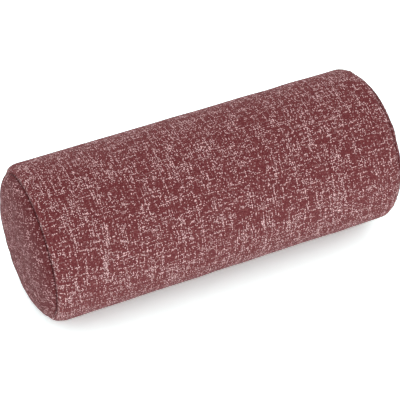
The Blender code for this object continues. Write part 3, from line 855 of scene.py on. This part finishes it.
def make_slider(finish):
    """The slider: two rounded plates, the post between them, a turned-down flange along each
    side of the top plate, and the bridge that holds the pull, a round bar bent up, along
    and down again on quarter circles."""
    back, front = slider_low.x, slider_high.x
    top = COIL_TOP + GAP
    base = RADIUS - TAPE_DEPTH - TAPE_CLOTH - GAP
    post = (front - 0.0026, front - 0.0008), (base - 0.0004, top + 0.0004)
    blocks = [
        ((back, front), (top, top + PLATE), (-0.0035, 0.0035), 0.00038),
        ((back, front), (base - PLATE, base), (-0.0032, 0.0032), 0.00038),
        (*post, (-0.0006, 0.0006), 0.0003),
    ]
    for side in (-1, 1):
        across = tuple(sorted((side * 0.0035, side * 0.00305)))
        blocks.append(((back, front), (RADIUS - TAPE_DEPTH + 0.0005, top + 0.0004), across, 0.0002))
    pieces = [make_block(f"slider_{i}", *block, None) for i, block in enumerate(blocks)]
    middle, foot, bend = (back + front) / 2, top + 0.0006, 0.0009
    turn = np.linspace(0, math.pi / 2, 7)
    x = np.concatenate([[-0.0024], -0.0024 + bend * (1 - np.cos(turn))])
    height = np.concatenate([[0], 0.0026 - bend + bend * np.sin(turn)])
    x, height = np.concatenate([x, -x[::-1]]), np.concatenate([height, height[::-1]])
    bridge = from_zip(middle + x, foot + height, 0 * x)[None]
    across = from_zip(0.0, 0.0, 1.0) - from_zip(0.0, 0.0, 0.0)
    pieces.append(tubes("bridge", bridge, 0.00042, across, 10, None))
    return merged("zip_slider_casting", pieces, finish)


def make_pull(finish):
    """The pull: a flat tab with an eye, wider towards its tip. The eye's edge and the tab's
    are rounded oblongs, |c|^n + |s|^n = 1, and a flattened ring section is carried round
    between the two."""
    hinge = (slider_low.x + slider_high.x) / 2
    height = COIL_TOP + GAP + PLATE + 0.0013
    half, length = 0.0005, 0.025
    turn = np.linspace(0, math.tau, 64, endpoint=False)
    eye_x, eye_half, eye_across = -0.00225, 0.00175, 0.0013
    c, s = np.cos(turn), np.sin(turn)
    eye = (np.abs(c) ** 2.6 + np.abs(s) ** 2.6) ** (-1 / 2.6)
    rim = (np.abs(c) ** 5 + np.abs(s) ** 5) ** (-1 / 5)
    inner_x, inner_y = eye_x + eye_half * eye * c, eye_across * eye * s
    out_x = half - length / 2 + length / 2 * rim * c
    far = ease((-out_x - 0.003) / 0.008)
    out_y = (0.0021 + 0.0009 * far) * rim * s
    spread = math.tau * np.arange(10) / 10
    share = 0.5 + 0.5 * np.cos(spread)
    lift = half * np.sign(np.sin(spread)) * np.abs(np.sin(spread)) ** 0.35
    x = inner_x[None] + (out_x - inner_x)[None] * share[:, None]
    y = inner_y[None] + (out_y - inner_y)[None] * share[:, None]
    points = from_zip(hinge + x, height + lift[:, None] + 0 * x, y)
    return skin("zip_pull_tab", points, finish, around=True, loop=True, flip=True)


def make_label(finish):
    """A blank satin label under the lower tape: a strip of the girth with three slight waves
    along it."""
    low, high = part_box("care_label")
    x = np.linspace(low.x, high.x, 24)[:, None]
    reach = -np.linspace(0.006, 0.026, 20)[None]
    wave = 0.00005 * np.cos((x - low.x) / (high.x - low.x) * math.tau * 3) * (reach / 0.026)
    points = rolled(x, RADIUS - 0.00365 + wave, reach / RADIUS)
    uv = np.stack(np.broadcast_arrays(x, reach), -1)
    return thicken(skin("blank_label", points, finish, uv, flip=True), 0.0003)


# --- the cushion inside


DENT_FLAT = 0.026
DENT_END = 0.042
DENT_DEPTH = 0.0033
UNDER_SEAM = 0.0044  # how far the liner's end reaches back under the cover's seam


def dent(angle):
    """How far the cushion is pressed in at this angle from the zip."""
    away = np.abs(np.remainder(angle + math.pi, math.tau) - math.pi) * RADIUS
    return DENT_DEPTH * ease((DENT_END - away) / (DENT_END - DENT_FLAT))


def inside(profile, angle, depth, wave=0.0):
    """The cover's surface moved in by a depth along its normals, by the dent under the zip
    and by a small wave."""
    x, radius, normal_x, normal_r = (a[:, None] for a in profile[:4])
    pressed = dent(angle) * (radius / RADIUS) ** 2 + wave
    reach = radius - depth * normal_r - pressed * np.abs(normal_r)
    return rolled(x - depth * normal_x, reach, angle, depth)


def tube_profile():
    return mirrored(body_profile(60))


def dome_profile(side):
    """An end panel's section from near its middle to its rim, with outward normals."""
    share = np.linspace(0, 1, 40)[1:] ** 0.62
    radius, x = share * SEAM_RADIUS, DOME_BASE + DOME_HEIGHT * (1 - share**DOME_POWER)
    slope = DOME_HEIGHT * DOME_POWER * share ** (DOME_POWER - 1) / SEAM_RADIUS
    size = np.hypot(1, slope)
    return [side * x, radius, side / size, slope / size]


GIRTH = np.linspace(0, math.tau, 180, endpoint=False)[None]


def make_liner_tube(finish):
    """The liner's tube: the cover's section at the liner's depth, all the way round, with
    slight waves near its seams."""
    profile = tube_profile()
    near = np.exp(-(STRAIGHT_END - np.abs(profile[0])[:, None]).clip(0) / 0.012)
    wave = 0.00012 * (1 + ripple(GIRTH, 0.014, 31)) * near
    points = inside(profile, GIRTH, LINER_DEPTH + LINER_CLOTH / 2, wave)
    uv = np.stack(np.broadcast_arrays(profile[4][:, None], GIRTH * RADIUS), -1)
    piece = skin("liner_tube_calico", points, finish, uv, around=True)
    return thicken(piece, LINER_CLOTH, even=False)


def make_liner_end(name, side, finish):
    """The liner's end: the dome at the liner's depth, and an edge turned in towards the
    tube that passes under the cover's seam."""
    depth = LINER_DEPTH + LINER_CLOTH / 2
    x, radius, normal_x, normal_r = (a[:-3] for a in dome_profile(side))
    x, radius = x - depth * normal_x, radius - depth * normal_r
    edge = side * np.linspace(0, UNDER_SEAM, 6)[1:]
    x = np.concatenate([x, x[-1] - edge])[:, None]
    radius = np.concatenate([radius, np.full(5, radius[-1])])[:, None]
    points = rolled(x, radius + 0 * GIRTH, GIRTH, depth)
    uv = np.stack([side * radius * np.cos(GIRTH), radius * np.sin(GIRTH)], -1)
    centre = rolled(side * (TIP - depth), 0.0, 0.0)
    piece = skin(name, points, finish, uv, around=True, poles=[(0, centre)], flip=side < 0)
    return thicken(piece, LINER_CLOTH)


def make_wrap(finish):
    """The wadding round the foam: an outer surface just inside the liner and an inner one on
    the foam, joined at both ends by rounded edges."""
    x = np.linspace(-STRAIGHT_END + GAP + 0.001, STRAIGHT_END - GAP - 0.001, 90)[:, None]
    bump = 0.0002 * (1 + np.sin(x / 0.007) * np.cos(9 * GIRTH))
    outer = RADIUS - WADDING_DEPTH - dent(GIRTH) - bump
    inner = RADIUS - WADDING_DEPTH - WADDING + 0 * x + 0 * GIRTH
    edge = (outer[:1] + inner[:1]) / 2
    low, high = np.full((1, 1), x.min() - 0.0008), np.full((1, 1), x.max() + 0.0008)
    rows = [
        rolled(low, edge, GIRTH, WADDING_DEPTH + WADDING / 2),
        rolled(x, outer, GIRTH, WADDING_DEPTH),
        rolled(high, edge, GIRTH, WADDING_DEPTH + WADDING / 2),
        rolled(x[::-1], inner, GIRTH, WADDING_DEPTH + WADDING),
    ]
    points = np.concatenate(rows)
    return skin("wadding_wrap_fleece", points, finish, around=True, loop=True)


def make_pad(name, side, finish):
    """A thick pad at an end: the dome at the wadding's depth, a neck under the seam, the
    shoulder, and a flat face against the foam."""
    depth = WADDING_DEPTH + GAP
    dome = inside([np.asarray(a) for a in dome_profile(side)], GIRTH, depth)
    shoulder = [a[-23:-5] for a in body_profile()]
    shoulder = [side * shoulder[0], shoulder[1], side * shoulder[2], shoulder[3]]
    body = inside(shoulder, GIRTH, depth)[::-1]
    neck = dome[-4:-3] * [0.0, 1.0, 1.0] + [side * (SEAM_X - 0.0028), 0.0, 0.0]
    face_x = side * (STRAIGHT_END + 0 * GIRTH)
    share = np.linspace(0.96, 0.04, 16)[:, None]
    edge = RADIUS - depth - dent(GIRTH)
    face = rolled(face_x + 0 * share, edge * share, GIRTH, depth)
    points = np.concatenate([dome[:-3], neck, body, face])
    ends = [rolled(side * (TIP - depth), 0.0, 0.0), rolled(side * STRAIGHT_END, 0.0, 0.0)]
    poles = [(0, ends[0]), (len(points) - 1, ends[1])]
    return skin(name, points, finish, around=True, poles=poles, flip=side > 0)


def make_core(finish):
    """The foam: a cylinder with slightly rounded edges."""
    length, radius, bend = STRAIGHT_END - GAP, RADIUS - FOAM_DEPTH, 0.002
    turn = np.linspace(0, math.pi / 2, 6)
    share = np.linspace(0.05, 0.97, 14)
    end_x = np.concatenate([np.full(14, length), length - bend * (1 - np.cos(turn))])
    end_r = np.concatenate([share * (radius - bend), radius - bend + bend * np.sin(turn)])
    side_x = np.linspace(-length + bend * 2, length - bend * 2, 40)
    x = np.concatenate([-end_x, side_x, end_x[::-1]])
    r = np.concatenate([end_r, np.full(40, radius), end_r[::-1]])
    points = rolled(x[:, None], r[:, None] + 0 * GIRTH, GIRTH, FOAM_DEPTH)
    poles = [(0, rolled(-length, 0.0, 0.0)), (len(x) - 1, rolled(length, 0.0, 0.0))]
    return skin("foam_core_block", points, finish, around=True, poles=poles)


# --- stage


def stage():
    """A pale floor, soft even light from all round and a camera above and in front."""
    reach = 8.0
    corners = [(-reach, -reach, 0), (reach, -reach, 0), (reach, reach, 0), (-reach, reach, 0)]
    mesh = bpy.data.meshes.new("floor")
    mesh.from_pydata(corners, [], [(0, 1, 2, 3)])
    paper = Finish("pale_paper")
    lit = paper.node("ShaderNodeBsdfDiffuse", {}, {"Color": (1.55, 1.79, 1.78)})
    glow = paper.node("ShaderNodeEmission", {}, {"Strength": 0.06})
    both = paper.node("ShaderNodeAddShader", {}, [])
    paper.tree.links.new(lit.socket, both.socket.node.inputs[0])
    paper.tree.links.new(glow.socket, both.socket.node.inputs[1])
    paper.tree.links.new(both.socket, paper.tree.nodes["Material Output"].inputs[0])
    link(mesh, paper.material)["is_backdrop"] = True

    world = bpy.data.worlds.new("soft_light")
    bpy.context.scene.world = world
    world.use_nodes = True
    world.node_tree.nodes["Background"].inputs["Color"].default_value = (1, 1, 1, 1)
    world.node_tree.nodes["Background"].inputs["Strength"].default_value = 1.14
    bpy.context.scene.view_settings.view_transform = "Standard"

    camera = bpy.data.objects.new("camera", bpy.data.cameras.new("camera"))
    bpy.context.scene.collection.objects.link(camera)
    camera.data.sensor_width = 36.0
    camera.data.lens = 153.0
    camera.data.clip_end = 50.0
    azimuth, elevation, distance = math.radians(24.35), math.radians(43.2), 1.715
    back = Vector((
        -math.sin(azimuth) * math.cos(elevation),
        -math.cos(azimuth) * math.cos(elevation),
        math.sin(elevation),
    ))
    camera.location = Vector((0, 0, AXIS_HEIGHT)) + back * distance
    camera.rotation_euler = back.to_track_quat("Z", "Y").to_euler()
    camera.data.shift_x, camera.data.shift_y = -0.00575, -0.0207
    bpy.context.scene.camera = camera


stage()

body_cloth = melange(
    "cover_melange", 0.00094, 0.0, (WINE_PAINTED_SHADE, WINE, WINE_FLECK),
    flecks=(1.25, 0.07, 0.60), streak=0.020, patch=(0.012, 0.06), relief=0.0004,
)
# painted shade: the ends' cloth is the body's cloth with darker colours and dimmer flecks for the
# ends' shaded side; its weave is turned by 40 degrees
end_cloth_shaded = melange(
    "cover_end_melange_shaded", 0.00105, math.radians(40), (WINE_PAINTED_SHADE, END_WINE_SHADED, END_FLECK_SHADED),
    flecks=(1.25, 0.12, 0.62), streak=0.012, patch=(0.011, 0.08), relief=0.0004,
)
cotton = twisted("cotton_thread", ((0.05, 0.010, 0.012), (0.16, 0.045, 0.05)))
calico_thread = twisted("calico_thread", ((0.55, 0.50, 0.42), (0.80, 0.76, 0.68)))
# for each fine cloth: the darker colour, painted shade in the weave's gaps and low random tone,
# then the lighter colour
shades = (0.07, 0.014, 0.017), (0.18, 0.045, 0.05)
tape_cloth = fine_cloth("zip_tape_cloth", 0.0007, shades, 0.0001)
shades = (0.55, 0.50, 0.42), (0.82, 0.78, 0.70)
calico = fine_cloth("liner_calico_cloth", 0.0006, shades, 0.0001)
shades = (0.70, 0.69, 0.66), (0.88, 0.87, 0.84)
satin = fine_cloth("label_satin_cloth", 0.0003, shades, 0.00002)
nylon = moulded("zip_nylon_coil", ((0.09, 0.018, 0.022), (0.17, 0.04, 0.045)))
metal = plated("zip_plated_metal", ((0.30, 0.28, 0.27), (0.16, 0.15, 0.14)))
fleece = fibrous("wadding_fleece", ((0.62, 0.62, 0.60), (0.90, 0.90, 0.88)))
foam = porous("foam_cells", ((0.55, 0.47, 0.28), (0.85, 0.77, 0.54)))

swell = Swell(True)
cover = [make_body(body_cloth, swell)]
done(cover[0], "cover", "cover_cloth", "cover_body_panel")
for side, word, seed in ((-1, "left", 21), (1, "right", 22)):
    piece = make_end(f"cover_end_{word}_cloth", side, end_cloth_shaded, swell, seed)
    done(piece, "cover", "cover_end_cloth", f"cover_end_{word}")
    cover.append(piece)
    piece = seam_stitches(f"end_seam_{word}_stitches", side, cotton)
    done(piece, "cover", "cover_thread", f"end_seam_thread_{word}")
    piece = long_seam_stitches(f"long_seam_{word}_stitches", side, cotton)
    done(piece, "cover", "cover_thread", f"long_seam_thread_{word}")
done(zip_stitches(cotton), "cover", "cover_thread", "zip_topstitch")

for side, word in ((1, "upper"), (-1, "lower")):
    done(make_tape(word, side, tape_cloth), "cover", "zip_tape", f"zip_tape_{word}")
    done(make_coil(word, side, nylon), "cover", "zip_nylon", f"zip_coil_{word}")
    across = tuple(sorted((side * 0.001, side * TEETH_REACH)))
    box = (stop_low.x, stop_high.x), (COIL_BASE, COIL_TOP), across
    piece = make_block(f"zip_stop_{word}_crimp", *box, 0.00045, metal)
    done(piece, "cover", "zip_metal", f"zip_top_stop_{word}")
across = (-TEETH_REACH, TEETH_REACH)
box = (-COIL_END - GAP - 0.002, -COIL_END - GAP), (COIL_BASE, COIL_TOP), across
done(make_block("zip_end_crimp", *box, 0.00045, metal), "cover", "zip_metal", "zip_bottom_stop")
done(make_slider(metal), "zip_slider", "zip_metal", "zip_slider_body")
done(make_pull(metal), "zip_pull", "zip_metal", "zip_slider_pull")
done(make_label(satin), "cover", "label_satin", "care_label")

piece = make_liner_tube(calico)
done(piece, "cover", "liner_calico", "liner_tube")
for side, word in ((-1, "left"), (1, "right")):
    piece = make_liner_end(f"liner_end_{word}_calico", side, calico)
    done(piece, "cover", "liner_calico", f"liner_end_{word}")
    piece = liner_stitches(f"liner_seam_{word}_stitches", side, calico_thread)
    done(piece, "cover", "liner_thread", f"liner_seam_thread_{word}")
piece = liner_long_stitches(calico_thread)
done(piece, "cover", "liner_thread", "liner_long_seam_thread")
filling = [make_wrap(fleece)]
done(filling[0], "cover", "polyester_wadding", "wadding_wrap")
for side, word in ((-1, "left"), (1, "right")):
    piece = make_pad(f"wadding_{word}_pad", side, fleece)
    done(piece, "cover", "polyester_wadding", f"wadding_end_{word}")
    filling.append(piece)
filling.append(make_core(foam))
done(filling[-1], "cover", "polyurethane_foam", "foam_core")
